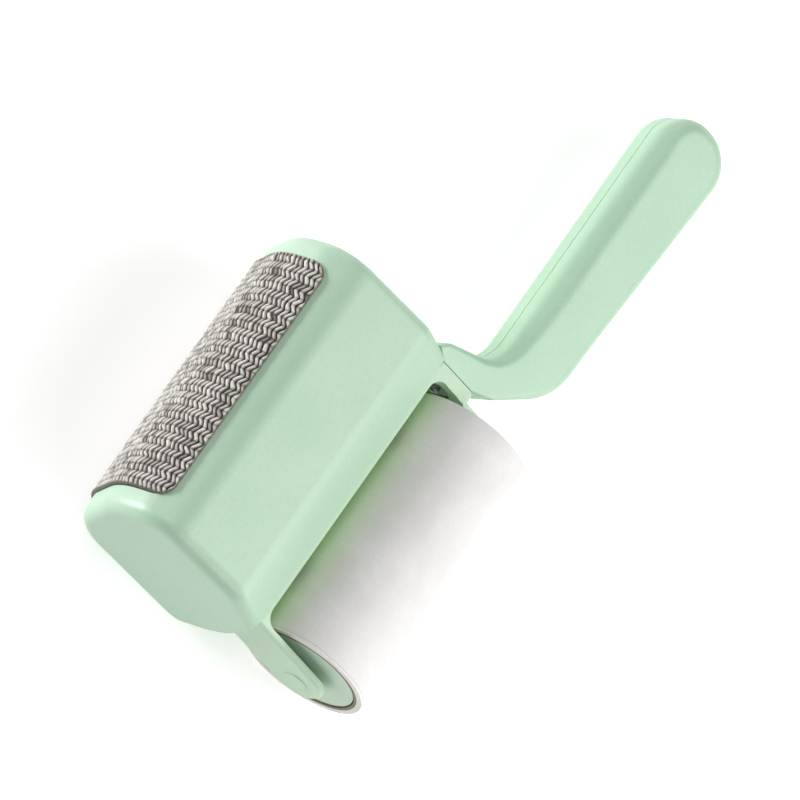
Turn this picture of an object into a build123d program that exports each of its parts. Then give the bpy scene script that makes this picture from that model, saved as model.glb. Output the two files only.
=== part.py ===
from build123d import *
import os
from math import cos, radians, sin

# Two-in-one lint roller: a hollow head with a woven pad round its nose, a U-shaped frame
# that carries a roll of sticky sheets, and a cranked handle that swivels on the frame's
# far arm. Millimetres. While it is built, X runs along the roll's axis from the roll's
# near end towards the handle, and that axis passes through y = 0, z = 0. At the end the
# whole object is moved so that the middle of its base is at the origin.

PAST = 1.0                # how far a cutter reaches past the face that it opens
BEYOND = 400.0            # reaches past the whole object

# Roll of sheets
ROLL_R = 23.0             # a full roll
ROLL_LENGTH = 100.0
CORE_WALL = 1.1
PAPER_DEPTH = 2.0
SHEET_THICKNESS = 0.2     # the outermost sheet, which is the one in use
SHEET_SLIT = 0.8          # gap at the outermost sheet's free edge
SHEET_SLIT_Y = -4.0       # the free edge lies underneath, a little in front of the axis
SHEET_SLIT_CUT = 3.0
CORE_R = ROLL_R - PAPER_DEPTH
CORE_BORE_R = CORE_R - CORE_WALL
PAPER_R = ROLL_R - SHEET_THICKNESS

# Hub inside the cardboard core
HUB_FIT = 0.5             # the hub's ribs bridge this gap
HUB_R = CORE_BORE_R - HUB_FIT
HUB_WALL = 1.8
HUB_BORE_R = HUB_R - HUB_WALL
HUB_INSET = 0.4           # the hub's ends lie this far inside the roll's ends
HUB_RIBS = 8
HUB_RIB_WIDTH = 2.0
HUB_RIB_MARGIN = 12.0
CAP_PLATE = 2.0
CAP_SKIRT = 7.0
CAP_SKIRT_WALL = 1.8
CAP_BOSS_R = 6.5

# Pivot pins, one in each arm
PIN_R = 3.0
PIN_HEAD_R = 4.4
PIN_HEAD_DEPTH = 0.9      # let into the arm
PIN_HEAD_PROUD = 0.35     # standing out of it
PIN_HEAD_EDGE_R = 0.3
PIN_HOLE = 6.0            # cut for the pin, deeper than an arm is thick
PIN_REACH = 8.0           # length of pin inside the hub's end
RUNNING_GAP = 0.05

# U-shaped frame
NEAR_ARM_OUT = -4.8
NEAR_ARM_IN = -2.4
FAR_ARM_IN = 103.0
FAR_ARM_OUT = 105.4
SWIVEL_BOSS_OUT = 108.2   # outer face of the boss on the far arm that the handle turns on
ARM_TILT = 19.0           # the arms' and the handle's plane, above the horizontal
ARM_END = -10.2
ARM_CORNER_R = 9.7
ARM_TOP = 9.8
ARM_ROOT_TOP = 11.2
ARM_UNDERSIDE = -10.6
ARM_EDGE_R = 1.5          # rounding of the near arm's outer edge
ARM_ROOT = 42.0           # the arms' inner ends, inside the head
FRAME_WALL = 1.4
BAY_CORNER_R = 5.0        # inner corners of the U
BAY_EDGE_Y = 15.0         # those corners lie beyond this y
BAY_EDGE_Z = 40.0         # and within this height of the axis
FRAME_HOLE = 5.0          # screw holes are cut this far each way from the bay wall

# Corners of each arm's outline in the arms' plane, each with the radius that rounds it
NEAR_ARM_CORNERS = [
    ((ARM_END, ARM_TOP), ARM_CORNER_R),
    ((ARM_END, ARM_UNDERSIDE), ARM_CORNER_R),
    ((ARM_ROOT, ARM_UNDERSIDE), 0.0),
    ((ARM_ROOT, ARM_ROOT_TOP), 0.0),
    ((30.0, ARM_ROOT_TOP), 0.0),
]
FAR_ARM_CORNERS = [
    ((-8.6, 6.0), 7.0),
    ((-8.6, -9.0), 7.0),
    ((ARM_ROOT, ARM_UNDERSIDE), 0.0),
    ((ARM_ROOT, ARM_ROOT_TOP), 0.0),
    ((18.0, 10.4), 0.0),
    ((12.5, 7.6), 4.0),
]

# Head
HEAD_MID = (NEAR_ARM_OUT + SWIVEL_BOSS_OUT) / 2
HEAD_HALF = 59.3
HEAD_EDGE_R = 5.0
SHELL_WALL = 2.4
FIT_GAP = 0.1             # between the frame and the shell that it plugs into
# Corners of the head's cross-section, each with the radius that rounds it. The two
# nearest the roll are cut away by the bay.
HEAD_CORNERS = [
    ((10.0, 7.1), 8.0),
    ((36.8, 31.5), 12.0),
    ((77.4, 41.8), 18.0),   # ridge beside the pad
    ((91.4, 21.9), 25.0),
    ((91.4, -11.4), 17.0),  # under the nose
    ((40.5, -23.95), 16.0),  # heel, which rests on the table with the roll
    ((10.0, -5.0), 8.0),
]
# The wall of the bay that the roll lies in, from above the lip to below the heel
BAY_WALL = [(21.36, 45.0), (27.0, -3.0), (54.0, -38.9)]
BAY_WALL_R = 40.0
BAY_REACH = -60.0

# Pad round the nose
PAD_LEAN = 12.0           # the pad's two long edges lie in a plane that leans by this much
PAD_EDGE = 69.0
PAD_LENGTH = 99.0
PAD_CORNER_R = 6.0
PAD_RECESS = 2.8
PAD_OPENING = 4.0         # the recess is cut from this far outside the head's surface
PAD_GAP = 0.4
PLATE_THICKNESS = 1.2
FOAM_THICKNESS = 2.0
FABRIC_THICKNESS = 1.2

# Frame screws: place and direction of each in the cross-section
SCREW_R = 1.5
SCREW_HEAD_R = 2.8
SCREW_HEAD = 1.4
SCREW_CROSS = 3.4         # length of each slot of the cross in the head
SCREW_CROSS_WIDTH = 0.7
SCREW_CROSS_DEPTH = 0.6
SCREW_HOLE_SPARE = 0.5    # a blind hole is this much deeper than its screw
SCREW_LIFT = 0.15         # the heads stand this far off the curved bay wall
FRAME_SCREW_LENGTH = 10.0
FRAME_SCREW_XS = (22.0, 81.4)
FRAME_SCREW_SEATS = [((25.24, 12.0), (0.993, 0.117), 1), ((31.0, -12.4), (0.920, 0.391), -1)]
BOSS_R = 3.4
BOSS_LENGTH = 12.0
RIB_WIDTH = 2.0
RIB_HEIGHT = 22.0

# Handle, in the arms' plane
HANDLE_HALF = 10.0        # half its thickness
HANDLE_WALL = 2.2
HANDLE_EDGE_R = 6.0
SWIVEL_GAP = 0.3
NECK_FACE = SWIVEL_BOSS_OUT + SWIVEL_GAP
NECK_START = 112.0        # clear of the head's end, so that the handle can swing past it
BLANK_START = 96.0        # the neck's outline runs on to here before it is cut off
BLANK_MARGIN = 0.5        # the edges closer than this to its end stay sharp
# Corners of the handle's outline, each with the radius that rounds it
HANDLE_CORNERS = [
    ((BLANK_START, 24.0), 0.0),
    ((BLANK_START, 45.0), 0.0),
    ((115.0, 32.0), 8.0),
    ((122.0, 13.5), 12.0),
    ((130.0, 10.2), 15.0),
    ((237.8, 10.2), 14.0),
    ((237.8, -20.0), 14.0),
    ((129.5, -14.4), 25.0),
]
# The neck's root in the same plane: it widens from the swivel disc within the head's recess
NECK_LIMIT = [
    (NECK_FACE, 14.1),
    (NECK_FACE, 30.3),
    (NECK_START, 37.6),
    (NECK_START, BEYOND),
    (BEYOND, BEYOND),
    (BEYOND, -BEYOND),
    (NECK_START, -BEYOND),
    (NECK_START, 5.5),
]
HANDLE_SCREWS = [(134.0, -2.0), (178.0, -4.0), (222.0, -5.0)]
HANDLE_BOSS_R = 4.0
HANDLE_BOSS_BORE_R = 3.0
HANDLE_SCREW_SEAT = -5.0
HANDLE_SCREW_TIP = 6.0

# Swivel
SWIVEL_Y = 22.2           # its axis, in the arms' plane
SWIVEL_DISC_R = 12.6
SWIVEL_RECESS_R = 13.2    # round opening in the head's end that the disc turns in
RECESS_FLARE = 1.885      # widening of the opening outside the disc, for each unit of depth
RECESS_MOUTH = 20.0       # how far out the widening is cut
RECESS_RING_R = 21.0      # thicker part of the head's end round the opening
RECESS_RING_START = 106.9
SPIGOT_R = 4.0
SPIGOT_SEAT = 1.5         # its flange starts this far inside the neck
SPIGOT_FLANGE_R = 6.5
SPIGOT_FLANGE = 2.5
COUNTERBORE_R = 6.8
COUNTERBORE = 2.0
WASHER_R = 6.2
WASHER = 0.8
END_PLAY = 0.1            # of the spigot in the boss
SWIVEL_SCREW_SPARE = 0.2
SPRING_R = 8.6
SPRING_BORE_R = 5.0
SPRING = 0.6
SPIGOT_END = FAR_ARM_IN + COUNTERBORE - END_PLAY
SPIGOT_FLANGE_START = NECK_START + SPIGOT_SEAT

tilt = radians(ARM_TILT)
along_arm = Vector(0, cos(tilt), sin(tilt))
across_arm = Vector(0, -sin(tilt), cos(tilt))


def section_plane(x):
    """Plane across the object: its first axis is y and its second is z."""
    return Plane(origin=(x, 0, 0), x_dir=(0, 1, 0), z_dir=(1, 0, 0))


def arm_plane(x):
    """The same plane, turned to the arms' tilt."""
    return Plane(origin=(x, 0, 0), x_dir=along_arm, z_dir=(1, 0, 0))


def handle_plane(height=0.0):
    """Plane of the handle: its first axis is X and its second runs along the arms."""
    return Plane(origin=across_arm * height, x_dir=(1, 0, 0), z_dir=across_arm)


def rounded_outline(corners):
    """Face whose straight sides meet in arcs, from (point, radius) pairs."""
    face = make_face(Polyline(*[point for point, radius in corners], close=True))
    for point, radius in corners:
        if radius > 0:
            corner = face.vertices().sort_by_distance(point)[0]
            face = fillet(corner, radius)
    return face


def along_x(face, x0, x1, plane=section_plane):
    """Prism from x0 to x1."""
    return extrude(plane(x0) * face, amount=x1 - x0)


def rod(x0, x1, radius, y=0.0):
    """Cylinder along X, centred on a point of the arms' plane."""
    return along_x(Pos(y, 0) * Circle(radius), x0, x1, arm_plane)


def tube(x0, x1, outer, inner, y=0.0):
    return rod(x0, x1, outer, y) - rod(x0 - PAST, x1 + PAST, inner, y)


def bay_face(clearance=0.0):
    """The roll's side of the bay wall, grown by the clearance."""
    points = BAY_WALL + [(BAY_REACH, BAY_WALL[-1][1]), (BAY_REACH, BAY_WALL[0][1])]
    corners = [(point, 0.0) for point in points]
    corners[1] = (BAY_WALL[1], BAY_WALL_R)
    face = rounded_outline(corners)
    if clearance:
        face = offset(face, amount=clearance, kind=Kind.INTERSECTION)
    return face


def head_form(inset=0.0):
    """The head's rounded form, or the same form that much inside it."""
    face = rounded_outline(HEAD_CORNERS)
    if inset:
        face = offset(face, amount=-inset)
    half = HEAD_HALF - inset
    form = along_x(face, HEAD_MID - half, HEAD_MID + half)
    ends = form.faces().sort_by(Axis.X)
    return fillet(ends[0].edges() + ends[-1].edges(), HEAD_EDGE_R - inset)


def pad_layer(outside, inside, margin=0.0):
    """Layer round the nose between two depths below the head's surface."""
    outline = rounded_outline(HEAD_CORNERS)
    outer = offset(outline, amount=-outside) if outside else outline
    band = outer - offset(outline, amount=-inside)
    half = PAD_LENGTH / 2 + margin
    layer = along_x(band, HEAD_MID - half, HEAD_MID + half)
    lean = radians(PAD_LEAN)
    edge = PAD_EDGE - margin
    top = Plane(
        origin=(HEAD_MID, edge * cos(lean), -edge * sin(lean)),
        x_dir=(1, 0, 0),
        z_dir=(0, sin(lean), cos(lean)),
    )
    depth = 2 * PAD_EDGE
    plan = RectangleRounded(2 * half, 2 * depth, PAD_CORNER_R + margin)
    plan = Pos(0, depth) * plan
    return layer & extrude(top * plan, amount=depth, both=True)


def screw_axis(x, seat):
    """Plane on the bay wall whose normal is the screw's direction."""
    (y, z), (dy, dz), _ = seat
    return Plane(origin=(x, y, z), x_dir=(1, 0, 0), z_dir=(0, dy, dz))


def frame_screw_seats():
    return [(x, seat) for x in FRAME_SCREW_XS for seat in FRAME_SCREW_SEATS]


def cylinder_on(plane, radius, start, end):
    return extrude(plane.offset(start) * Circle(radius), amount=end - start)


def screw(plane, head_from, length):
    """Pan-head screw: its head's underside is on the plane."""
    head = cylinder_on(plane, SCREW_HEAD_R, -head_from, 0)
    slots = Rectangle(SCREW_CROSS, SCREW_CROSS_WIDTH) + Rectangle(SCREW_CROSS_WIDTH, SCREW_CROSS)
    cross = extrude(plane.offset(-head_from) * slots, amount=SCREW_CROSS_DEPTH)
    return head + cylinder_on(plane, SCREW_R, 0, length) - cross


def head_shell():
    form = head_form()
    hollow = head_form(SHELL_WALL) - pad_layer(0, PAD_RECESS + SHELL_WALL, SHELL_WALL)
    shell = form - hollow
    for x, seat in frame_screw_seats():
        plane = screw_axis(x, seat)
        boss = cylinder_on(plane, BOSS_R, FRAME_WALL + FIT_GAP, BOSS_LENGTH)
        rib = Rectangle(RIB_WIDTH, RIB_HEIGHT, align=(Align.CENTER, Align.MIN))
        toward = plane.y_dir.Z * seat[2]
        if toward < 0:
            rib = Rot(0, 0, 180) * rib
        start = plane.offset(FRAME_WALL + FIT_GAP)
        boss += extrude(start * rib, amount=BOSS_LENGTH - FRAME_WALL - FIT_GAP) & form
        shell += boss
        shell -= cylinder_on(plane, SCREW_R, -PAST, FRAME_SCREW_LENGTH + SCREW_HOLE_SPARE)
    ring_end = HEAD_MID + HEAD_HALF - SHELL_WALL / 2
    shell += rod(RECESS_RING_START, ring_end, RECESS_RING_R, SWIVEL_Y) & form
    shell -= along_x(bay_face(FRAME_WALL), HEAD_MID - 2 * HEAD_HALF, HEAD_MID + 2 * HEAD_HALF)
    shell -= rod(RECESS_RING_START - PAST, SWIVEL_BOSS_OUT + PAST, SWIVEL_RECESS_R, SWIVEL_Y)
    shell -= recess_flare()
    return shell - pad_layer(-PAD_OPENING, PAD_RECESS, PAD_GAP)


def bay_skin():
    """The bay wall below the arms, carried on to the shell's two ends to close the head."""
    half = HEAD_HALF - SHELL_WALL - FIT_GAP
    wall = bay_face(FRAME_WALL) - bay_face()
    skin = along_x(wall, HEAD_MID - half, HEAD_MID + half) & head_form()
    below = Rectangle(2 * BEYOND, BEYOND, align=(Align.CENTER, Align.MAX))
    skin &= along_x(below, -BEYOND, BEYOND, arm_plane)
    return skin - rod(RECESS_RING_START - PAST, SWIVEL_BOSS_OUT + PAST, SWIVEL_RECESS_R, SWIVEL_Y)


def roller_frame():
    bay = along_x(bay_face(), NEAR_ARM_IN, FAR_ARM_IN)
    wall_edges = bay.faces().sort_by(Axis.X)
    inner = [e for end in (wall_edges[0], wall_edges[-1]) for e in end.edges()]
    inner = [e for e in inner if e.center().Y > BAY_EDGE_Y and abs(e.center().Z) < BAY_EDGE_Z]
    bay = fillet(inner, BAY_CORNER_R)
    profile = rounded_outline(NEAR_ARM_CORNERS)
    near_arm = along_x(profile, NEAR_ARM_OUT, NEAR_ARM_IN, arm_plane)
    near_arm = fillet(near_arm.faces().sort_by(Axis.X)[0].edges(), ARM_EDGE_R)
    far_arm = along_x(rounded_outline(FAR_ARM_CORNERS), FAR_ARM_IN, FAR_ARM_OUT, arm_plane)
    between = along_x(profile, NEAR_ARM_IN, FAR_ARM_IN, arm_plane)
    wall = along_x(bay_face(FRAME_WALL), NEAR_ARM_OUT, SWIVEL_BOSS_OUT)
    back = along_x(bay_face(FRAME_WALL), NEAR_ARM_IN, FAR_ARM_IN)
    arms = near_arm + far_arm + swivel_disc(FAR_ARM_IN, SWIVEL_BOSS_OUT)
    arms &= head_form(SHELL_WALL + FIT_GAP) + wall
    bridge = ((between & wall) + (back & head_form())) - bay
    frame = arms + bridge + bay_skin()
    for outside, inward in ((NEAR_ARM_OUT, 1), (FAR_ARM_OUT, -1)):
        seat = sorted((outside, outside + inward * PIN_HEAD_DEPTH))
        frame -= rod(seat[0], seat[1], PIN_HEAD_R)
        through = sorted((outside, outside + inward * PIN_HOLE))
        frame -= rod(through[0], through[1], PIN_R)
    frame -= rod(FAR_ARM_IN - PAST, SWIVEL_BOSS_OUT + PAST, SPIGOT_R + RUNNING_GAP, SWIVEL_Y)
    frame -= rod(FAR_ARM_IN - PAST, FAR_ARM_IN + COUNTERBORE, COUNTERBORE_R, SWIVEL_Y)
    for x, seat in frame_screw_seats():
        frame -= cylinder_on(screw_axis(x, seat), SCREW_R, -FRAME_HOLE, FRAME_HOLE)
    return frame


def frame_screws():
    planes = [screw_axis(x, seat).offset(-SCREW_LIFT) for x, seat in frame_screw_seats()]
    screws = [screw(plane, SCREW_HEAD, FRAME_SCREW_LENGTH) for plane in planes]
    return Compound(children=[s.solid() for s in screws])


def pad_plate():
    return pad_layer(PAD_RECESS - PLATE_THICKNESS, PAD_RECESS)


def pad_foam():
    top = PAD_RECESS - PLATE_THICKNESS - FOAM_THICKNESS
    return pad_layer(top, top + FOAM_THICKNESS, -FABRIC_THICKNESS)


def pad_fabric():
    """Woven cover: over the foam's face and down its four sides to the plate."""
    plate_face = PAD_RECESS - PLATE_THICKNESS
    return pad_layer(plate_face - FOAM_THICKNESS - FABRIC_THICKNESS, plate_face) - pad_foam()


def pivot_pin(outside, inward):
    """Pin pressed through an arm, with its flat head let into the arm's outer face."""
    head = sorted((outside - inward * PIN_HEAD_PROUD, outside + inward * PIN_HEAD_DEPTH))
    hub_end = PIN_REACH if inward > 0 else ROLL_LENGTH - PIN_REACH
    shank = sorted((outside + inward * PIN_HEAD_DEPTH, hub_end))
    cap = rod(head[0], head[1], PIN_HEAD_R)
    rim = cap.faces().sort_by(Axis((0, 0, 0), (inward, 0, 0)))[0].edges()
    return fillet(rim, PIN_HEAD_EDGE_R) + rod(shank[0], shank[1], PIN_R)


def hub_tube():
    x0 = HUB_INSET + CAP_PLATE
    x1 = ROLL_LENGTH - x0
    hub = tube(x0, x1, HUB_R, HUB_BORE_R)
    rib = Pos(HUB_R, 0) * Rectangle(2 * (CORE_BORE_R - HUB_R), HUB_RIB_WIDTH)
    ribs = [Rot(0, 0, 360 * i / HUB_RIBS) * rib for i in range(HUB_RIBS)]
    for rib in ribs:
        hub += along_x(rib, HUB_RIB_MARGIN, ROLL_LENGTH - HUB_RIB_MARGIN)
    return hub & rod(x0, x1, CORE_BORE_R)


def hub_cap(outer_face, inward):
    """End plate of the hub with a skirt inside the tube and a bearing boss for the pin."""
    def span(start, end):
        return sorted((outer_face + inward * start, outer_face + inward * end))
    plate = rod(*span(0, CAP_PLATE), HUB_R)
    skirt_ends = span(CAP_PLATE, CAP_PLATE + CAP_SKIRT)
    skirt = tube(*skirt_ends, HUB_BORE_R, HUB_BORE_R - CAP_SKIRT_WALL)
    boss = rod(*skirt_ends, CAP_BOSS_R)
    bore = rod(*span(-PAST, CAP_PLATE + CAP_SKIRT + PAST), PIN_R + RUNNING_GAP)
    return plate + skirt + boss - bore


def outer_sheet():
    """The sheet in use, one turn round the roll, with its free edge underneath."""
    sheet = tube(0, ROLL_LENGTH, ROLL_R, PAPER_R)
    slit = Pos(SHEET_SLIT_Y, -ROLL_R) * Rectangle(SHEET_SLIT, SHEET_SLIT_CUT)
    return sheet - along_x(slit, -PAST, ROLL_LENGTH + PAST)


def swivel_disc(x0, x1):
    """Disc round the swivel axis with its top and bottom cut flat."""
    disc = Pos(SWIVEL_Y, 0) * Circle(SWIVEL_DISC_R)
    disc &= Pos(SWIVEL_Y, 0) * Rectangle(4 * SWIVEL_DISC_R, 2 * HANDLE_HALF)
    return along_x(disc, x0, x1, arm_plane)


def swivel_plane(x):
    """Plane across the swivel axis."""
    centre = arm_plane(x).from_local_coords((SWIVEL_Y, 0, 0))
    return Plane(origin=centre, x_dir=along_arm, z_dir=(1, 0, 0))


def recess_flare():
    """Cone that widens the head's round opening, so that the neck can turn in it."""
    mouth = SWIVEL_RECESS_R + RECESS_FLARE * RECESS_MOUTH
    base = swivel_plane(SWIVEL_BOSS_OUT)
    return loft([base * Circle(SWIVEL_RECESS_R), base.offset(RECESS_MOUTH) * Circle(mouth)])


def handle_form():
    """The handle as one solid: swivel disc, neck and grip."""
    outline = rounded_outline(HANDLE_CORNERS)
    grip = extrude(handle_plane() * outline, amount=HANDLE_HALF, both=True)
    faces = grip.faces().sort_by(Axis((0, 0, 0), tuple(across_arm)))
    edges = [e for face in (faces[0], faces[-1]) for e in face.edges()]
    edges = [e for e in edges if e.center().X > BLANK_START + BLANK_MARGIN]
    grip = fillet(edges, HANDLE_EDGE_R)
    limit = make_face(Polyline(*NECK_LIMIT, close=True))
    grip &= extrude(handle_plane() * limit, amount=2 * HANDLE_HALF, both=True)
    return grip + swivel_disc(NECK_FACE, NECK_START + PAST)


def handle_half(side):
    """One moulded half of the handle: side is 1 for the upper one, -1 for the lower."""
    outline = offset(rounded_outline(HANDLE_CORNERS), amount=-HANDLE_WALL)
    inside = HANDLE_HALF - HANDLE_WALL
    form = handle_form()
    hollow = extrude(handle_plane() * outline, amount=inside, both=True)
    hollow &= handle_core_limit()
    half = form - hollow
    for x, y in HANDLE_SCREWS:
        post = cylinder_on(handle_plane(), HANDLE_BOSS_R, -inside - PAST, inside + PAST)
        half += Pos(handle_plane().from_local_coords((x, y, 0))) * post & form
    for x, y in HANDLE_SCREWS:
        at = Pos(handle_plane().from_local_coords((x, y, 0)))
        half -= at * cylinder_on(handle_plane(), SCREW_R, HANDLE_SCREW_SEAT, HANDLE_SCREW_TIP)
        half -= at * cylinder_on(
            handle_plane(), HANDLE_BOSS_BORE_R, -HANDLE_HALF - PAST, HANDLE_SCREW_SEAT)
    half -= spigot_space()
    keep = extrude(handle_plane() * Rectangle(2 * BEYOND, 2 * BEYOND), amount=side * BEYOND)
    return half & keep


def handle_core_limit():
    """Keeps the hollow clear of the solid block that holds the swivel's spigot."""
    start = NECK_START + 2 * SPIGOT_FLANGE + PAST
    return along_x(Rectangle(2 * BEYOND, 2 * BEYOND), start, BEYOND, arm_plane)


def spigot_space():
    """Pocket for the spigot and the spring washer in the handle's root."""
    space = rod(NECK_FACE - PAST, SPIGOT_FLANGE_START, SPIGOT_R, SWIVEL_Y)
    space += spigot_flange()
    return space + rod(NECK_FACE - PAST, NECK_FACE + SPRING, SPRING_R, SWIVEL_Y)


def spigot_flange():
    end = SPIGOT_FLANGE_START + SPIGOT_FLANGE
    return rod(SPIGOT_FLANGE_START, end, SPIGOT_FLANGE_R, SWIVEL_Y)


def swivel_spigot():
    spigot = rod(SPIGOT_END, SPIGOT_FLANGE_START, SPIGOT_R, SWIVEL_Y) + spigot_flange()
    return spigot - rod(SPIGOT_END - PAST, SPIGOT_FLANGE_START, SCREW_R, SWIVEL_Y)


def swivel_washer():
    return tube(SPIGOT_END - WASHER, SPIGOT_END, WASHER_R, SCREW_R, SWIVEL_Y)


def swivel_screw():
    under_head = SPIGOT_END - WASHER
    length = SPIGOT_FLANGE_START - under_head - SWIVEL_SCREW_SPARE
    return screw(swivel_plane(under_head), SCREW_HEAD, length)


def swivel_spring():
    return tube(NECK_FACE, NECK_FACE + SPRING, SPRING_R, SPRING_BORE_R, SWIVEL_Y)


def handle_screws():
    screws = []
    for x, y in HANDLE_SCREWS:
        origin = handle_plane().from_local_coords((x, y, HANDLE_SCREW_SEAT))
        plane = Plane(origin=origin, x_dir=(1, 0, 0), z_dir=across_arm)
        screws.append(screw(plane, SCREW_HEAD, HANDLE_SCREW_TIP - HANDLE_SCREW_SEAT))
    return Compound(children=[s.solid() for s in screws])


nodes = {
    "head_shell": head_shell(),
    "roller_frame": roller_frame(),
    "frame_screws": frame_screws(),
    "pad_plate": pad_plate(),
    "pad_foam": pad_foam(),
    "pad_fabric": pad_fabric(),
    "near_pivot_pin": pivot_pin(NEAR_ARM_OUT, 1),
    "far_pivot_pin": pivot_pin(FAR_ARM_OUT, -1),
    "hub_tube": hub_tube(),
    "near_hub_cap": hub_cap(HUB_INSET, 1),
    "far_hub_cap": hub_cap(ROLL_LENGTH - HUB_INSET, -1),
    "cardboard_core": tube(0, ROLL_LENGTH, CORE_R, CORE_BORE_R),
    "paper_roll": tube(0, ROLL_LENGTH, PAPER_R, CORE_R),
    "outer_sheet": outer_sheet(),
    "handle_upper_shell": handle_half(1),
    "handle_lower_shell": handle_half(-1),
    "handle_screws": handle_screws(),
    "swivel_spigot": swivel_spigot(),
    "swivel_washer": swivel_washer(),
    "swivel_screw": swivel_screw(),
    "swivel_spring": swivel_spring(),
}

os.makedirs("parts", exist_ok=True)
whole = Compound(children=[Compound(children=shape.solids()) for shape in nodes.values()])
box = whole.bounding_box()
to_base = Pos(-box.center().X, -box.center().Y, -box.min.Z)
for name, shape in nodes.items():
    solids = [to_base * solid for solid in shape.solids()]
    export_step(solids[0] if len(solids) == 1 else Compound(children=solids),
                f"parts/{name}.step")
base = -Vector(to_base.position.X, to_base.position.Y, to_base.position.Z)
swivel = along_arm * SWIVEL_Y - base
print("size", box.size)
print("roll axis passes through", -base)
print("swivel axis passes through", swivel)
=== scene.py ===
import math

import bmesh
import bpy
import numpy as np
from mathutils import Matrix, Vector, noise
from mathutils.bvhtree import BVHTree


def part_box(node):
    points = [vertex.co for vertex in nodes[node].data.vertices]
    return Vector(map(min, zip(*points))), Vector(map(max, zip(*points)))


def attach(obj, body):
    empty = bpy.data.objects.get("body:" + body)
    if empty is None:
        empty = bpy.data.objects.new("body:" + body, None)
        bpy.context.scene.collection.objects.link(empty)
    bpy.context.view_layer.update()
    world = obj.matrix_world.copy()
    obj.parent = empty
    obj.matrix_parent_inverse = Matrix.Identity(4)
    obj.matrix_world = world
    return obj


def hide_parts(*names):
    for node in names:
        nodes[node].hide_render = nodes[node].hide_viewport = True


MM = 0.001
WHITE = (1.0, 1.0, 1.0, 1.0)
BLACK = (0.0, 0.0, 0.0, 1.0)


def srgb(r, g, b):
    """A display colour, 0 to 255, as the linear colour that a shader takes."""
    def linear(c):
        c = c / 255
        return c / 12.92 if c <= 0.04045 else ((c + 0.055) / 1.055) ** 2.4
    return (linear(r), linear(g), linear(b), 1.0)


# ---------------------------------------------------------------- frame, camera, light

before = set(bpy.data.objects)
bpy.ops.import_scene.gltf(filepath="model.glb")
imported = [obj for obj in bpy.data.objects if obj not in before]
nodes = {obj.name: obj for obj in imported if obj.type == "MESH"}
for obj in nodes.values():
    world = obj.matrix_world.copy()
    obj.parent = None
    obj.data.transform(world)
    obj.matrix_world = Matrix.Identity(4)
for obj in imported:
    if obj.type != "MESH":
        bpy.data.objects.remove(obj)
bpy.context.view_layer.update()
scene = bpy.context.scene
scene.view_settings.view_transform = "Standard"
scene.view_settings.look = "None"

VIEW_RIGHT = Vector((0.5399, -0.7573, 0.3675))     # the camera's axes
VIEW_UP = Vector((0.7653, 0.6234, 0.1603))
VIEW_BACK = Vector((-0.3505, 0.1947, 0.9161))      # toward the eye
VIEW_CENTRE = Vector((-29.58, -3.77, 49.08)) * MM
VIEW_WIDTH = 264.0 * MM
VIEW_LEAN = math.radians(12.0)                     # from straight up to the eye, seen along the roll
LENS = 1200.0                                      # long enough for a nearly parallel view
SENSOR = 36.0
CLIP_START = 0.05
CLIP_END = 60.0

WORLD_LIGHT = 0.03

# name, direction as view_direction takes it, distance and size in metres, watts
SOFTBOXES = (
    ("key", (0.35, -0.79, 0.5), 1.1, 0.7, 5.4),
    ("top", (0.0, 0.2, 0.95), 1.1, 0.6, 3.2),
    ("far_end", (0.9, 0.2, 0.45), 1.1, 0.6, 2.0),
    ("low_front", (0.0, -1.0, 0.2), 1.1, 0.6, 4.9),
    ("low_back", (-0.12, 1.0, 0.1), 1.1, 0.6, 27.0),
    ("left_front", (-0.65, -0.6, 0.5), 0.45, 0.25, 0.5),
)


def add_camera():
    data = bpy.data.cameras.new("camera")
    data.lens = LENS
    data.sensor_width = SENSOR
    data.clip_start = CLIP_START
    data.clip_end = CLIP_END
    camera = bpy.data.objects.new("camera", data)
    scene.collection.objects.link(camera)
    turn = Matrix((VIEW_RIGHT, VIEW_UP, VIEW_BACK)).transposed()
    place = VIEW_CENTRE + VIEW_BACK * (VIEW_WIDTH * LENS / SENSOR)
    camera.matrix_world = Matrix.Translation(place) @ turn.to_4x4()
    scene.camera = camera


def view_direction(along, up, eye):
    """A direction given along the roll, up across the view, and toward the eye."""
    c, s = math.cos(VIEW_LEAN), math.sin(VIEW_LEAN)
    return Vector((along, c * up + s * eye, c * eye - s * up)).normalized()


def add_softbox(name, toward, distance, size, watts):
    """A square area light that far from the view's centre, facing it."""
    data = bpy.data.lights.new(name, "AREA")
    data.shape = "SQUARE"
    data.size = size
    data.energy = watts
    light = bpy.data.objects.new(name, data)
    scene.collection.objects.link(light)
    light.location = VIEW_CENTRE + toward * distance
    light.rotation_mode = "QUATERNION"
    light.rotation_quaternion = toward.to_track_quat("Z", "Y")


def add_world():
    world = bpy.data.worlds.new("studio")
    world.use_nodes = True
    background = world.node_tree.nodes["Background"]
    background.inputs["Color"].default_value = WHITE
    background.inputs["Strength"].default_value = WORLD_LIGHT
    scene.world = world


# ---------------------------------------------------------------- materials


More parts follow.
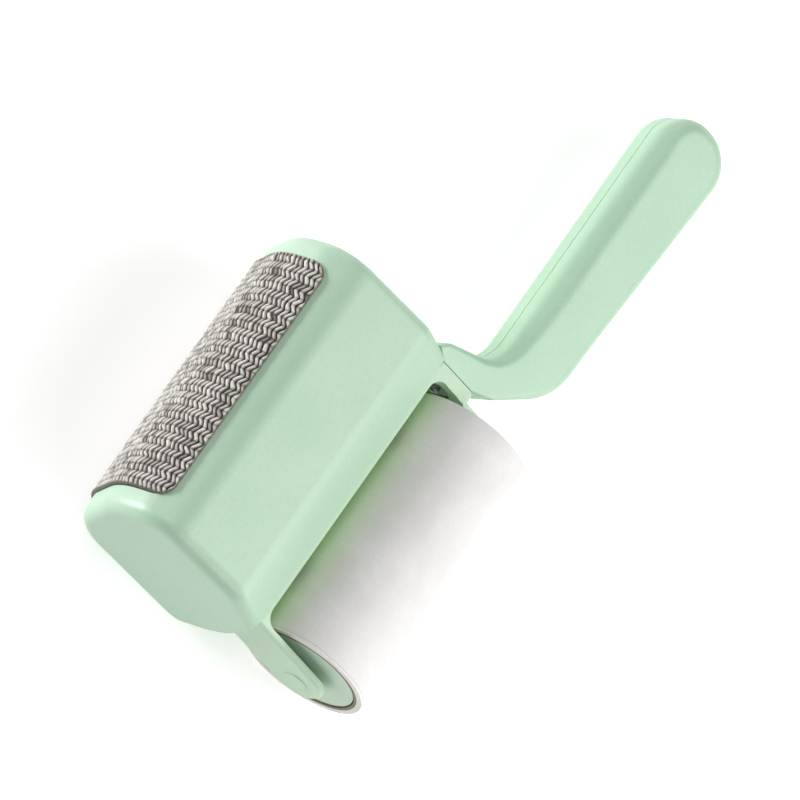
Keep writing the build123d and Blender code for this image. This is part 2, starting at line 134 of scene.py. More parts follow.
class Look:
    """A material with a few shorthands for its nodes.

    A noise reads the object's coordinates unless it is given a source, so its scale is per metre.
    """

    def __init__(self, name):
        self.mat = bpy.data.materials.new(name)
        self.mat.use_nodes = True
        self.tree = self.mat.node_tree
        self.bsdf = self.tree.nodes["Principled BSDF"]
        source = self.tree.nodes.new("ShaderNodeTexCoord")
        self.coords = source.outputs["Object"]
        self.normals = source.outputs["Normal"]

    def node(self, kind, **values):
        made = self.tree.nodes.new(kind)
        for key, value in values.items():
            setattr(made, key, value)
        return made

    def link(self, a, b):
        self.tree.links.new(a, b)

    def give(self, socket, value):
        """Links an output to the socket, or sets a plain value on it."""
        if hasattr(value, "is_output"):
            self.link(value, socket)
        else:
            socket.default_value = value

    def split(self, vector):
        """The X, Y and Z outputs of a vector."""
        made = self.node("ShaderNodeSeparateXYZ")
        self.link(vector, made.inputs[0])
        return made.outputs

    def attribute(self, name, output="Fac"):
        return self.node("ShaderNodeAttribute", attribute_name=name).outputs[output]

    def noise(self, scale, detail=3.0, roughness=0.5, stretch=None, source=None):
        source = source or self.coords
        if stretch:
            mapping = self.node("ShaderNodeMapping")
            mapping.inputs["Scale"].default_value = stretch
            self.link(source, mapping.inputs["Vector"])
            source = mapping.outputs["Vector"]
        made = self.node("ShaderNodeTexNoise")
        made.inputs["Scale"].default_value = scale
        made.inputs["Detail"].default_value = detail
        made.inputs["Roughness"].default_value = roughness
        self.link(source, made.inputs["Vector"])
        return made.outputs["Fac"]

    def ramp(self, value, stops):
        made = self.node("ShaderNodeValToRGB")
        while len(made.color_ramp.elements) < len(stops):
            made.color_ramp.elements.new(0.5)
        for element, (at, colour) in zip(made.color_ramp.elements, stops):
            element.position = at
            element.color = colour
        self.link(value, made.inputs["Fac"])
        return made.outputs["Color"]

    def span(self, value, low, high, from_low=0.3, from_high=0.7):
        made = self.node("ShaderNodeMapRange")
        made.inputs["From Min"].default_value = from_low
        made.inputs["From Max"].default_value = from_high
        made.inputs["To Min"].default_value = low
        made.inputs["To Max"].default_value = high
        self.link(value, made.inputs["Value"])
        return made.outputs["Result"]

    def blend(self, factor, a, b):
        """The mix of two colours; a Mix node has its colour sockets at 6 and 7, and its result at 2."""
        made = self.node("ShaderNodeMix", data_type="RGBA")
        for socket, value in ((0, factor), (6, a), (7, b)):
            self.give(made.inputs[socket], value)
        return made.outputs[2]

    def math(self, kind, *values):
        made = self.node("ShaderNodeMath", operation=kind)
        for socket, value in zip(made.inputs, values):
            self.give(socket, value)
        return made.outputs[0]

    def bump(self, height, distance, under=None):
        made = self.node("ShaderNodeBump")
        made.inputs["Strength"].default_value = 1.0
        made.inputs["Distance"].default_value = distance
        self.link(height, made.inputs["Height"])
        if under:
            self.link(under, made.inputs["Normal"])
        return made.outputs["Normal"]

    def colour(self, value):
        self.link(value, self.bsdf.inputs["Base Color"])

    def rough(self, value):
        self.link(value, self.bsdf.inputs["Roughness"])

    def normal(self, value):
        self.link(value, self.bsdf.inputs["Normal"])

    def finish(self, **values):
        """Sets plain numbers on the shader's own sockets, named with _ for a space."""
        for name, value in values.items():
            self.bsdf.inputs[name.replace("_", " ")].default_value = value


BAY_SHADE_FACING = -0.7    # Y of the surface's direction, for a wall that faces the roll and gets the painted bay shade


def moulded_plastic(name, pale, deep, rough=0.42, bay_shade=None):
    """Satin moulded plastic: a faint drift of tone, spark-eroded grain and a little uneven gloss.

    The last argument is (colour, start, end): between those two places along X, walls that face
    the roll have that deeper colour, as painted shade for the dim green light inside the bay.
    """
    look = Look(name)
    tone = look.ramp(look.noise(14.0, 2.0), ((0.3, deep), (0.7, pale)))
    # painted shade in the bay: walls that face the roll take the deeper green
    if bay_shade:
        colour, start, end = bay_shade
        x = look.split(look.coords)["X"]
        between = look.math("MULTIPLY", look.math("GREATER_THAN", x, start),
                            look.math("LESS_THAN", x, end))
        inward = look.math("LESS_THAN", look.split(look.normals)["Y"], BAY_SHADE_FACING)
        tone = look.blend(look.math("MULTIPLY", between, inward), tone, colour)
    speck = look.noise(900.0, 2.0)
    look.colour(look.blend(look.span(speck, 0.0, 0.06), tone, WHITE))
    look.rough(look.span(look.noise(35.0, 3.0), rough - 0.04, rough + 0.04))
    grain = look.bump(look.noise(2600.0, 2.0), 0.012 * MM)
    look.normal(look.bump(look.noise(60.0, 1.0), 0.05 * MM, under=grain))
    look.finish(IOR=1.5, Specular_IOR_Level=0.8, Subsurface_Weight=0.08,
                Subsurface_Radius=(1.0, 1.0, 1.0), Subsurface_Scale=1.2 * MM)
    return look.mat


def brushed_steel(name, tone, rough):
    look = Look(name)
    lines = look.noise(300.0, 4.0, 0.6, stretch=(1.0, 8.0, 8.0))
    dark = tuple(c * 0.75 for c in tone[:3]) + (1.0,)
    look.colour(look.ramp(lines, ((0.3, dark), (0.7, tone))))
    look.rough(look.span(lines, rough - 0.06, rough + 0.08))
    look.normal(look.bump(lines, 0.01 * MM))
    look.finish(Metallic=1.0)
    return look.mat


SHEET_STEP = (0.75 * MM, 1.0 * MM)    # where the outer sheet's end steps down, from the roll's end
SHEET_THICK = 0.12 * MM
SHEET_DRIFT = 0.35 * MM               # how far that end wanders


def paper_side(name, end_x):
    """The outside of the refill: coated white paper with faint fibres, creases and pressure marks.

    The sheet below stands out a little past the outer one near end_x, with a painted shade line along
    the step.
    """
    look = Look(name)
    cloud = look.noise(60.0, 4.0, 0.6)
    fibre = look.noise(1500.0, 3.0, 0.6, stretch=(0.35, 1.0, 1.0))
    tone = look.ramp(cloud, ((0.35, srgb(226, 223, 221)), (0.6, srgb(234, 232, 231))))
    tone = look.blend(look.span(fibre, 0.0, 0.35), tone, srgb(216, 213, 209))
    drift = look.span(look.noise(45.0, 2.0), -SHEET_DRIFT, SHEET_DRIFT)
    inset = look.math("SUBTRACT", look.split(look.coords)["X"], end_x)
    step = look.span(look.math("ADD", inset, drift), 0.0, 1.0, *SHEET_STEP)
    # painted shade: a dark line along the step where the outer sheet ends
    line = look.math("MULTIPLY", look.math("MULTIPLY", step, 4.0), look.math("SUBTRACT", 1.0, step))
    look.colour(look.blend(look.math("MULTIPLY", line, 0.45), tone, srgb(168, 163, 154)))
    look.rough(look.span(cloud, 0.55, 0.68))
    relief = look.bump(fibre, 0.02 * MM)
    relief = look.bump(look.noise(40.0, 2.0, 0.5, stretch=(0.35, 1.6, 1.6)), 0.5 * MM, under=relief)
    relief = look.bump(look.noise(180.0, 3.0, 0.6), 0.06 * MM, under=relief)
    look.normal(look.bump(step, SHEET_THICK, under=relief))
    return look.mat


def paper_edge(name, axis):
    """The wound end of the refill: rings of paper, cream between pale and grey."""
    look = Look(name)
    place = look.split(look.coords)
    across = look.math("SUBTRACT", place["Y"], axis[0])
    upward = look.math("SUBTRACT", place["Z"], axis[1])
    squares = look.math("ADD", look.math("MULTIPLY", across, across),
                        look.math("MULTIPLY", upward, upward))
    ring = look.node("ShaderNodeTexNoise", noise_dimensions="1D")
    ring.inputs["Scale"].default_value = 9000.0
    ring.inputs["Detail"].default_value = 2.0
    look.link(look.math("SQRT", squares), ring.inputs["W"])
    sheets = ring.outputs["Fac"]
    look.colour(look.ramp(sheets, (
        (0.3, srgb(202, 197, 188)), (0.5, srgb(230, 227, 220)), (0.7, srgb(243, 241, 236)))))
    look.rough(look.span(sheets, 0.7, 0.85))
    look.normal(look.bump(sheets, 0.03 * MM))
    return look.mat


def cardboard(name):
    look = Look(name)
    fibre = look.noise(700.0, 4.0, 0.65, stretch=(0.3, 1.0, 1.0))
    look.colour(look.ramp(fibre, ((0.3, srgb(118, 108, 94)), (0.7, srgb(146, 136, 120)))))
    look.rough(look.span(fibre, 0.75, 0.9))
    look.normal(look.bump(fibre, 0.05 * MM))
    return look.mat


def foam(name):
    look = Look(name)
    voronoi = look.node("ShaderNodeTexVoronoi")
    voronoi.inputs["Scale"].default_value = 1600.0
    look.link(look.coords, voronoi.inputs["Vector"])
    cell = voronoi.outputs["Distance"]
    look.colour(look.ramp(cell, ((0.1, srgb(96, 96, 94)), (0.6, srgb(150, 150, 146)))))
    look.rough(look.span(cell, 0.8, 0.95, 0.0, 1.0))
    look.normal(look.bump(cell, 0.15 * MM))
    return look.mat


def woven_yarn(name):
    """Grey twisted yarn with a frayed hem, read from the pad's own attributes. The hem's dark olive
    is partly its own colour and partly painted shade where the fabric turns down at the edge.

    depth is each point's height in the weave, and its low places get a painted shade; yarn is its
    place along its own yarn, and hem how near it is to the pad's edge.
    """
    look = Look(name)
    along = look.attribute("yarn", "Vector")
    fibre = look.noise(1.0, 4.0, 0.65, stretch=(0.9, 7.0, 1.0), source=along)
    yarn = look.ramp(fibre, (
        (0.28, srgb(184, 179, 172)), (0.5, srgb(220, 216, 210)), (0.72, srgb(240, 238, 234))))
    yarn = look.blend(look.span(look.noise(220.0, 3.0), 0.0, 0.3), yarn, srgb(188, 182, 174))
    # painted shade: the low places of the weave, its gaps and the yarns' flanks, turn dark brown
    gap = look.ramp(look.attribute("depth"), ((0.3, WHITE), (0.92, BLACK)))
    woven = look.blend(gap, yarn, srgb(66, 58, 49))
    # the frayed hem's dark olive: partly its own colour, partly painted shade at the pad's edge
    frayed_hem_and_shade = look.ramp(look.noise(1500.0, 3.0), (
        (0.35, srgb(74, 74, 58)), (0.65, srgb(122, 124, 100))))
    look.colour(look.blend(look.attribute("hem"), woven, frayed_hem_and_shade))
    look.rough(look.span(fibre, 0.75, 0.92))
    look.normal(look.bump(fibre, 0.12 * MM))
    look.finish(Sheen_Weight=0.25, Sheen_Roughness=0.5)
    return look.mat


def backdrop(name):
    """Matt white paper that glows a little, so that it stays white under the object."""
    look = Look(name)
    cloud = look.noise(3.0, 3.0)
    look.colour(look.ramp(cloud, ((0.3, (0.86, 0.86, 0.86, 1.0)), (0.7, (0.88, 0.88, 0.88, 1.0)))))
    look.rough(look.span(cloud, 0.85, 0.95))
    look.finish(Specular_IOR_Level=0.0, Emission_Color=WHITE, Emission_Strength=0.47)
    return look.mat


def dress(name, mat):
    node = nodes[name]
    node.data.materials.clear()
    node.data.materials.append(mat)


# ---------------------------------------------------------------- meshes

FLOOR_HALF = 3.0


def new_piece(name, verts, faces, mat):
    mesh = bpy.data.meshes.new(name)
    mesh.from_pydata([tuple(v) for v in verts], [], faces)
    mesh.materials.append(mat)
    mesh.polygons.foreach_set("use_smooth", [True] * len(mesh.polygons))
    mesh.update()
    piece = bpy.data.objects.new(name, mesh)
    scene.collection.objects.link(piece)
    return piece


def add_floor(mat):
    corners = [(x * FLOOR_HALF, y * FLOOR_HALF, 0) for x, y in ((-1, -1), (1, -1), (1, 1), (-1, 1))]
    floor = new_piece("floor", corners, [(0, 1, 2, 3)], mat)


def face_outward(mesh, split_caps=False):
    """Turns all faces outward, and splits those of many sides into triangles if asked."""
    work = bmesh.new()
    work.from_mesh(mesh)
    caps = [face for face in work.faces if len(face.verts) > 4]
    bmesh.ops.recalc_face_normals(work, faces=work.faces)
    if split_caps:
        bmesh.ops.triangulate(work, faces=caps)
    work.to_mesh(mesh)
    work.free()


def wall(low, high):
    """Faces between two closed rings of vertex numbers."""
    return np.stack([low, np.roll(low, -1), np.roll(high, -1), high], -1).tolist()


def strip(low, high):
    """Faces between two open rows of vertex numbers."""
    return np.stack([low[:-1], low[1:], high[1:], high[:-1]], -1).tolist()


def bell(width):
    """Weights of a bell-shaped running mean over that many points."""
    weights = np.hanning(width + 2)[1:-1]
    return weights / weights.sum()


# ---------------------------------------------------------------- the woven pad

PITCH = 2.05 * MM          # from one zigzag yarn to the next, round the nose
ROW = 2.8 * MM             # length of one leg of the zigzag, along the head
SWING = 1.45 * MM          # how far a yarn swings to the side from row to row
RELIEF = 0.95 * MM         # from the bottom of the gaps to the top of the yarn
STRAY = 0.6 * MM           # how far a yarn strays from its line
STRAY_ALONG = 0.6          # how much of that shifts the rows as well
YARN_HALF = 0.43           # half a yarn's width, in pitches
YARN_TOP = 0.92            # usual height of a yarn, in reliefs
YARN_TALLEST = 1.1
YARN_DIP = 0.5             # how much lower a yarn is at the ends of a leg, as a share
LEG_BEND = 0.07            # how much a leg of the zigzag bends
UNEVEN = 0.045             # spread of the yarns' places, in pitches
UNEVEN_TOP = 4.2           # spread of their heights against that of their places
WOBBLES = 4096

PAD_CORNER = 6.0 * MM      # radius of the pad's corners
PAD_ROLL = 0.5 * MM        # rounding of the fabric where it turns under
PAD_HEM = 0.6 * MM         # width of the frayed edge
PAD_CALM = 0.8 * MM        # how near the edge the weave gets flatter
EDGE_RELIEF = 0.35         # how much of the relief is left at the edge
PAD_RIPPLE = 0.10 * MM
PAD_SINK = 0.05 * MM       # how far the whole weave is set below the CAD's surface
STRAY_NOISE = (330, 8.7)   # scale per metre, and the layer of the noise that is read
RIPPLE_NOISE = (260, 3.1)
PAD_DEPTH = 2.4 * MM       # from the fabric's top to where the piece ends in the recess
SKIRT_DEPTHS = (1.7 * MM, 2.05 * MM, PAD_DEPTH)
GRID = 0.28 * MM
NOISE_EVERY = 6            # columns between those that slow noise is worked out for
CORNER_ROWS = 25
UNDER_STRIPS = 20
HIDDEN_HEIGHT = 0.35       # height in the weave that the edge and underside are coloured as, read by the painted gap shade
HIDDEN_YARN = (900, 900, 4000)    # how fast the yarn's place changes along, round and down the edge

SECTION_STEP = 0.05 * MM
SECTION_RAYS = 7200
SECTION_HEART = 0.25       # where the rays aim, as a share of the node's size along Y
OUTER_FACE = 0.35          # least cosine to the ray for a hit to count as the outer face
SECTION_MEAN = 41          # points that a normal is averaged over


def section_line(node, x):
    """The outer line of a curved layer across X: distances along it, points and outward normals."""
    mesh = nodes[node].data
    tree = BVHTree.FromPolygons([v.co for v in mesh.vertices], [p.vertices for p in mesh.polygons])
    lo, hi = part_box(node)
    heart = Vector((x, lo.y + SECTION_HEART * (hi.y - lo.y), (lo.z + hi.z) / 2))
    reach = (hi - lo).length
    found = []
    for i in range(SECTION_RAYS):
        angle = math.pi * (2 * i / SECTION_RAYS - 1)
        ray = Vector((0.0, math.cos(angle), math.sin(angle)))
        point, normal, _, _ = tree.ray_cast(heart + ray * reach, -ray, reach)
        if point is not None and normal.dot(ray) > OUTER_FACE:
            found.append((point.y, point.z))
    line = np.array(found)
    run = np.r_[0, np.cumsum(np.hypot(*np.diff(line, axis=0).T))]
    at = np.linspace(0, run[-1], max(2, int(run[-1] / SECTION_STEP)))
    line = np.c_[np.interp(at, run, line[:, 0]), np.interp(at, run, line[:, 1])]
    margin = SECTION_MEAN // 2
    tangent = np.pad(np.gradient(line, axis=0), ((margin, margin), (0, 0)), "edge")
    tangent = np.c_[np.convolve(tangent[:, 0], bell(SECTION_MEAN), "valid"),
                    np.convolve(tangent[:, 1], bell(SECTION_MEAN), "valid")]
    tangent /= np.linalg.norm(tangent, axis=1)[:, None]
    return at, line, np.c_[tangent[:, 1], -tangent[:, 0]]


def on_section(section, x, s, out):
    """Places on the section line at the distances s, moved outward by out."""
    at, line, normal = section
    y = np.interp(s, at, line[:, 0]) + out * np.interp(s, at, normal[:, 0])
    z = np.interp(s, at, line[:, 1]) + out * np.interp(s, at, normal[:, 1])
    return np.stack([x, y, z], -1).reshape(-1, 3)


def weave(u, s, stray):
    """Height in the chevron weave, and each point's place along and across its yarn.

    The height is 0 in the gaps and about 1 on top. stray is how far the yarn strays from its
    line at each point.
    """
    rng = np.random.default_rng(7)
    wobble = rng.normal(0, UNEVEN, WOBBLES)
    u = u + STRAY_ALONG * stray
    row = np.floor(u / ROW)
    part = u / ROW - row
    bent = part - LEG_BEND * np.sin(2 * np.pi * part)
    leg = np.where(row % 2 == 0, bent, 1 - bent)
    across = (s + SWING * (leg - 0.5) + stray) / PITCH
    yarn = np.floor(across)
    # two multipliers that keep neighbouring yarns and rows apart in the table
    key = (yarn.astype(int) * 131 + row.astype(int) * 17) % WOBBLES
    across = across - yarn - 0.5 + wobble[key] * np.sin(np.pi * part)
    top = YARN_TOP + wobble[(key * 7) % WOBBLES] * UNEVEN_TOP
    round_top = np.sqrt(np.clip(1 - (across / YARN_HALF) ** 2, 0, 1))
    ends = 1 - YARN_DIP * np.abs(2 * part - 1) ** 3
    height = np.clip(round_top * ends * top, 0, YARN_TALLEST)
    # the fibres of each leg start at a place of their own
    place = np.stack([part * 3 + row * 5.3, across + yarn * 3.7, row * 0.7], -1)
    return height, place


def slow_noise(u, s, scale, layer):
    """Smooth noise over the pad, worked out for some columns and filled in between them."""
    columns = np.arange(s.shape[1])
    known = columns[::NOISE_EVERY]
    rows = [[noise.noise((a * scale, b * scale, layer)) for b in line[known]]
            for a, line in zip(u[:, 0], s)]
    return np.array([np.interp(columns, known, row) for row in rows])


def pad_rows(long):
    """Places of the rows along the pad, closer together round its corners."""
    turn = np.linspace(0, math.pi / 2, CORNER_ROWS + 1)[:-1]
    ends = PAD_CORNER * (1 - np.cos(turn))
    middle = np.linspace(PAD_CORNER, long - PAD_CORNER, int((long - 2 * PAD_CORNER) / GRID))
    return np.r_[ends, middle, (long - ends)[::-1]]


def corner_inset(u_rows, long):
    """How far each row starts from the pad's long edge, because its corners are round."""
    near = np.minimum(u_rows, long - u_rows)
    inset = np.zeros(len(u_rows))
    curved = near < PAD_CORNER
    inset[curved] = PAD_CORNER - np.sqrt(PAD_CORNER ** 2 - (PAD_CORNER - near[curved]) ** 2)
    return inset


def edge_distance(u, s, long, wide):
    """How far inside the pad's rounded outline each point is."""
    du = np.minimum(u, long - u)
    ds = np.minimum(s, wide - s)
    in_corner = (du < PAD_CORNER) & (ds < PAD_CORNER)
    round_edge = PAD_CORNER - np.hypot(PAD_CORNER - du, PAD_CORNER - ds)
    return np.clip(np.where(in_corner, round_edge, np.minimum(du, ds)), 0, None)


class Points:
    """Vertices gathered block by block, each with its depth, hem and yarn attributes."""

    def __init__(self):
        self.blocks = []
        self.count = 0

    def add(self, places, depth, hem, yarn):
        """Adds a block and returns its vertex numbers."""
        self.blocks.append((places, depth, hem, yarn))
        first = self.count
        self.count += len(places)
        return np.arange(first, self.count)

    def add_hidden(self, places, u, s, deep=0.0):
        """Adds a block of the edge, that far down from the top, or of the underside."""
        yarn = np.stack([u, s, np.full(len(u), deep)], -1) * HIDDEN_YARN
        return self.add(places, np.full(len(u), HIDDEN_HEIGHT), np.ones(len(u)), yarn)

    def joined(self):
        return [np.concatenate(part) for part in zip(*self.blocks)]


def pad_mesh(mat):
    """The pad as one closed mesh: the weave, its edge turned down into the recess and an underside."""
    lo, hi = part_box("pad_fabric")
    section = section_line("pad_fabric", (lo.x + hi.x) / 2)
    long, wide = hi.x - lo.x, section[0][-1]
    u_rows = pad_rows(long)
    rows, columns = len(u_rows), int(wide / GRID)
    inset = corner_inset(u_rows, long)[:, None]
    s = inset + np.linspace(0, 1, columns)[None, :] * (wide - 2 * inset)
    u = np.repeat(u_rows[:, None], columns, 1)

    # the weave on top
    edge = edge_distance(u, s, long, wide)
    roll = np.clip(1 - edge / PAD_ROLL, 0, 1)
    drop = PAD_ROLL * (1 - np.sqrt(np.clip(1 - roll ** 2, 0, 1)))
    height, yarn = weave(u, s, slow_noise(u, s, *STRAY_NOISE) * STRAY)
    ripple = slow_noise(u, s, *RIPPLE_NOISE) * PAD_RIPPLE
    calm = np.clip(edge / PAD_CALM, EDGE_RELIEF, 1)
    out = ripple - (1 - height) * RELIEF * calm - drop - PAD_SINK
    hem = np.clip(1 - edge / PAD_HEM, 0, 1)
    points = Points()
    index = points.add(on_section(section, lo.x + u, s, out), height.ravel(), hem.ravel(),
                       yarn.reshape(-1, 3)).reshape(rows, columns)
    faces = []
    for low, high in zip(index[:-1], index[1:]):
        faces += strip(low, high)

    # the edge, down from the outline
    outline = np.r_[index[0, :], index[1:, -1], index[-1, -2::-1], index[-2:0:-1, 0]]
    ring, ring_u, ring_s = outline, u.ravel()[outline], s.ravel()[outline]
    for deep in SKIRT_DEPTHS:
        places = on_section(section, lo.x + ring_u, ring_s, -deep)
        below = points.add_hidden(places, ring_u, ring_s, deep)
        faces += wall(ring, below)
        ring = below

    # the underside, in strips between the two long edges
    left = np.r_[ring[0], ring[:-rows:-1]]
    right = ring[columns - 1:columns - 1 + rows]
    lines = [left]
    for k in range(1, UNDER_STRIPS):
        s_line = s[:, 0] + (s[:, -1] - s[:, 0]) * k / UNDER_STRIPS
        places = on_section(section, lo.x + u_rows, s_line, -PAD_DEPTH)
        lines.append(points.add_hidden(places, u_rows, s_line))
    lines.append(right)
    for a, b in zip(lines[:-1], lines[1:]):
        faces += strip(a, b)
    far_edge = ring[columns + rows - 2:2 * columns + rows - 2]
    faces.append([int(i) for i in ring[:columns][::-1]] + [int(line[0]) for line in lines[1:-1]])
    faces.append([int(i) for i in far_edge[::-1]] + [int(line[-1]) for line in lines[-2:0:-1]])

    places, depth, hem, yarn = points.joined()
    piece = new_piece("woven_pad", places, faces, mat)
    attributes = (
        ("depth", "FLOAT", "value", depth),
        ("hem", "FLOAT", "value", hem),
        ("yarn", "FLOAT_VECTOR", "vector", yarn),
    )
    for name, kind, key, values in attributes:
        made = piece.data.attributes.new(name, kind, "POINT")
        made.data.foreach_set(key, values.astype(np.float32).ravel())
    face_outward(piece.data)
    return piece


# ---------------------------------------------------------------- the handle's upper half

# Corners of the handle's outline and how round each is. The outline lies in the handle's own
# plane, measured from the roll's near end and axis. This section's sizes are in millimetres.
HANDLE_CORNERS = (
    ((108.5, 14.1), 0.0), ((108.5, 30.3), 0.0), ((111.5, 34.6), 0.0), ((115.0, 32.0), 8.0),
    ((122.0, 13.5), 12.0), ((130.0, 10.2), 15.0), ((237.8, 10.2), 14.0), ((237.8, -20.0), 14.0),
    ((129.5, -14.4), 25.0), ((112.0, 5.6), 3.0),
)
HANDLE_HALF = 10.0         # the half's thickness
HANDLE_TILT = math.radians(19.0)
GRIP_START = 150.0         # along X, only the grip is beyond this
GRIP_CENTRE = (180.0, -5.0)    # a place well inside the grip
PATH_STEP = 0.6

# How round the upper edge is, by place along X: crisp at the root, full on the grip
EDGE_AT_X = (108.5, 116.0, 123.0, 131.0, 146.0)
INNER_EDGE = (0.6, 1.8, 3.2, 5.6, 7.6)
OUTER_EDGE = (0.6, 1.6, 2.4, 3.6, 5.0)
INNER_SIDE = 9.0           # the outline is on its inner side beyond this
ROOT_EDGE = 0.6
ROOT_END = 112.0
ROOT_BLEND = 10.0          # from the root's own edge to the smoothed one
EDGE_MEAN = 59             # points that the smoothed edge is averaged over
EDGE_STEPS = 12

SEAM_EDGE = 0.45           # small round edge where the two halves meet
SEAM_STEPS = 4
SEAM_INSET = 1.2           # where the flat below starts, in seam edges
WALL_RING = 0.55           # where the wall's middle ring is, as a share of its height

DISC_CENTRE = 22.2         # the swivel disc at the handle's root, along the arms
DISC_RADIUS = 12.6
DISC_X = (108.52, 112.6)
DISC_HEIGHTS = (0.02, 9.98)    # just clear of the half's own faces
DISC_STEPS = 16

SHARP_ANGLE = math.radians(32.0)


def rounded_path(corners):
    """Points about one step apart along straight runs and the arcs that join them, closed."""
    points = [np.array(corner) for corner, _ in corners]
    path = []
    for i, (_, radius) in enumerate(corners):
        corner, before, after = points[i], points[i - 1], points[(i + 1) % len(points)]
        if radius == 0:
            path.append(corner)
            continue
        a = (before - corner) / np.linalg.norm(before - corner)
        b = (after - corner) / np.linalg.norm(after - corner)
        half = math.acos(np.clip(a @ b, -1, 1)) / 2
        run = radius / math.tan(half)
        middle = corner + (a + b) / np.linalg.norm(a + b) * (radius / math.sin(half))
        start, end = corner + a * run - middle, corner + b * run - middle
        sweep = math.pi - 2 * half
        bits = max(3, math.ceil(radius * sweep / PATH_STEP))
        for k in range(bits + 1):
            t = k / bits
            path.append(middle + (start * math.sin((1 - t) * sweep)
                                  + end * math.sin(t * sweep)) / math.sin(sweep))
    filled = []
    for p, q in zip(path, path[1:] + path[:1]):
        gap = np.linalg.norm(q - p)
        bits = max(1, round(gap / PATH_STEP)) if gap > 1.5 * PATH_STEP else 1
        filled += [p + (q - p) * k / bits for k in range(bits)]
    return np.array(filled)


def inward_normals(path):
    """Unit normals of the closed path, pointing into the handle."""
    tangent = np.roll(path, -1, 0) - np.roll(path, 1, 0)
    tangent /= np.linalg.norm(tangent, axis=1)[:, None]
    inward = np.c_[tangent[:, 1], -tangent[:, 0]]
    grip = path[:, 0] > GRIP_START
    if ((GRIP_CENTRE - path[grip]) * inward[grip]).sum() < 0:
        inward = -inward
    return inward


def edge_radii(path):
    """How round the upper edge is at each point: crisp round the root, smoothed along the grip."""
    x = path[:, 0]
    radius = np.where(path[:, 1] > INNER_SIDE, np.interp(x, EDGE_AT_X, INNER_EDGE),
                      np.interp(x, EDGE_AT_X, OUTER_EDGE))
    radius = np.where(x < ROOT_END, ROOT_EDGE, radius)
    wrapped = np.concatenate([radius[-EDGE_MEAN:], radius, radius[:EDGE_MEAN]])
    smooth = np.convolve(wrapped, bell(EDGE_MEAN), "same")[EDGE_MEAN:-EDGE_MEAN]
    share = np.clip((x - ROOT_END) / ROOT_BLEND, 0, 1)
    return radius * (1 - share) + smooth * share


def handle_place(x, along, up, origin):
    """Points given along X, along the arms and across them, as places in the scene."""
    c, s = math.cos(HANDLE_TILT), math.sin(HANDLE_TILT)
    return np.stack([x * MM + origin[0], (along * c - up * s) * MM + origin[1],
                     (along * s + up * c) * MM + origin[2]], -1)


def quarter_turn(steps):
    """Angles from nothing to a right angle, that many steps apart."""
    return [math.pi / 2 * k / steps for k in range(steps + 1)]


def stacked_rings(name, rings, mat):
    """A closed piece from rings of the same number of points, with a flat cap at each end."""
    index = np.arange(len(rings) * len(rings[0])).reshape(len(rings), -1)
    faces = []
    for low, high in zip(index[:-1], index[1:]):
        faces += wall(low, high)
    faces += [index[-1].tolist(), index[0][::-1].tolist()]
    return new_piece(name, np.concatenate(rings), faces, mat)


def disc_half_mesh(mat, origin):
    """The part of the swivel disc that belongs to the handle's upper half."""
    low, high = (math.asin(z / DISC_RADIUS) for z in DISC_HEIGHTS)
    turn = np.linspace(low, high, DISC_STEPS)
    along = np.r_[DISC_CENTRE + DISC_RADIUS * np.cos(turn),
                  DISC_CENTRE - DISC_RADIUS * np.cos(turn[::-1])]
    up = np.r_[DISC_RADIUS * np.sin(turn), DISC_RADIUS * np.sin(turn[::-1])]
    rings = [handle_place(np.full(len(along), x), along, up, origin) for x in DISC_X]
    piece = stacked_rings("disc_half", rings, mat)
    face_outward(piece.data)
    return piece


def unite(piece, other):
    """Turns the piece into the union of both, and drops the other."""
    union = piece.modifiers.new("union", "BOOLEAN")
    union.operation = "UNION"
    union.solver = "EXACT"
    union.object = other
    graph = bpy.context.evaluated_depsgraph_get()
    mesh = bpy.data.meshes.new_from_object(piece.evaluated_get(graph))
    piece.modifiers.clear()
    piece.data = mesh
    bpy.data.objects.remove(other)


def handle_half_mesh(mat, origin):
    """The upper half: a wall up from the seam, an edge that rounds towards the grip, and a flat top."""
    path = rounded_path(HANDLE_CORNERS)
    inward = inward_normals(path)
    radius = edge_radii(path)
    # how far in from the outline each ring is, and how high above the seam
    steps = [(SEAM_INSET * SEAM_EDGE, 0.0)]
    steps += [(SEAM_EDGE * (1 - math.sin(a)), SEAM_EDGE * (1 - math.cos(a)))
              for a in quarter_turn(SEAM_STEPS)]
    steps.append((0.0, (HANDLE_HALF - radius) * WALL_RING))
    steps += [(radius * (1 - math.cos(a)), HANDLE_HALF - radius * (1 - math.sin(a)))
              for a in quarter_turn(EDGE_STEPS)]
    rings = []
    for inset, up in steps:
        x, along = path.T + inward.T * inset
        rings.append(handle_place(x, along, up, origin))
    piece = stacked_rings("handle_upper_half", rings, mat)
    face_outward(piece.data, split_caps=True)
    unite(piece, disc_half_mesh(mat, origin))
    piece.data.set_sharp_from_angle(angle=SHARP_ANGLE)
    return piece


# ---------------------------------------------------------------- the scene

BAY_ENDS = (2.3 * MM, 2.9 * MM)    # how far the bay reaches past the roll's two ends

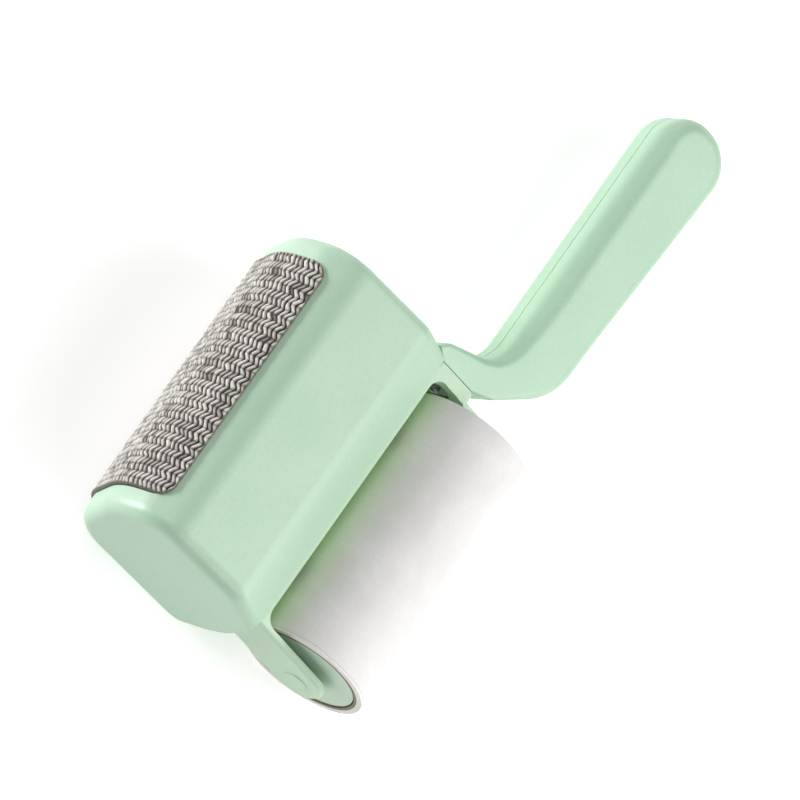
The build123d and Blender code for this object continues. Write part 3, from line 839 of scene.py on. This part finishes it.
add_camera()
add_world()
for name, toward, distance, size, watts in SOFTBOXES:
    add_softbox(name, view_direction(*toward), distance, size, watts)
add_floor(backdrop("floor_paper"))

lo_roll, hi_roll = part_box("outer_sheet")
roll_axis = ((lo_roll.y + hi_roll.y) / 2, (lo_roll.z + hi_roll.z) / 2)
# painted shade: a deeper green on the bay's walls that face the roll, for the dim light inside the bay
painted_bay_shade = (srgb(158, 212, 136), lo_roll.x - BAY_ENDS[0], hi_roll.x + BAY_ENDS[1])

mint = moulded_plastic("mint_moulding", srgb(178, 210, 184), srgb(172, 206, 178))
mint_handle = moulded_plastic("mint_handle_moulding", srgb(173, 209, 179), srgb(167, 205, 173))
mint_inner = moulded_plastic("mint_inner_moulding", srgb(184, 212, 182), srgb(178, 208, 176), 0.46,
                             bay_shade=painted_bay_shade)
mint_hub = moulded_plastic("mint_hub_moulding", srgb(188, 214, 190), srgb(181, 209, 184), 0.48)
dark_plastic = moulded_plastic("grey_moulding", srgb(150, 152, 150), srgb(136, 138, 136), 0.5)
steel = brushed_steel("screw_steel", srgb(190, 190, 192), 0.3)
spring = brushed_steel("spring_steel_finish", srgb(170, 172, 176), 0.35)

finishes = (
    (mint, ("head_shell",)),
    (mint_handle, ("handle_upper_shell", "handle_lower_shell")),
    (mint_inner, ("roller_frame", "near_pivot_pin", "far_pivot_pin")),
    (mint_hub, ("hub_tube", "near_hub_cap", "far_hub_cap")),
    (steel, ("frame_screws", "handle_screws", "swivel_screw")),
    (spring, ("swivel_spring", "swivel_washer")),
    (dark_plastic, ("pad_plate", "swivel_spigot")),
    (foam("grey_foam"), ("pad_foam",)),
    (cardboard("core_board"), ("cardboard_core",)),
    (paper_edge("wound_paper_edge", roll_axis), ("paper_roll",)),
    (paper_side("coated_paper", lo_roll.x), ("outer_sheet",)),
)
for finish, names in finishes:
    for name in names:
        dress(name, finish)

pad = pad_mesh(woven_yarn("grey_yarn"))
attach(pad, "head")
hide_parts("pad_fabric")

upper_half = handle_half_mesh(mint_handle, (lo_roll.x, *roll_axis))
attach(upper_half, "handle")
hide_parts("handle_upper_shell")
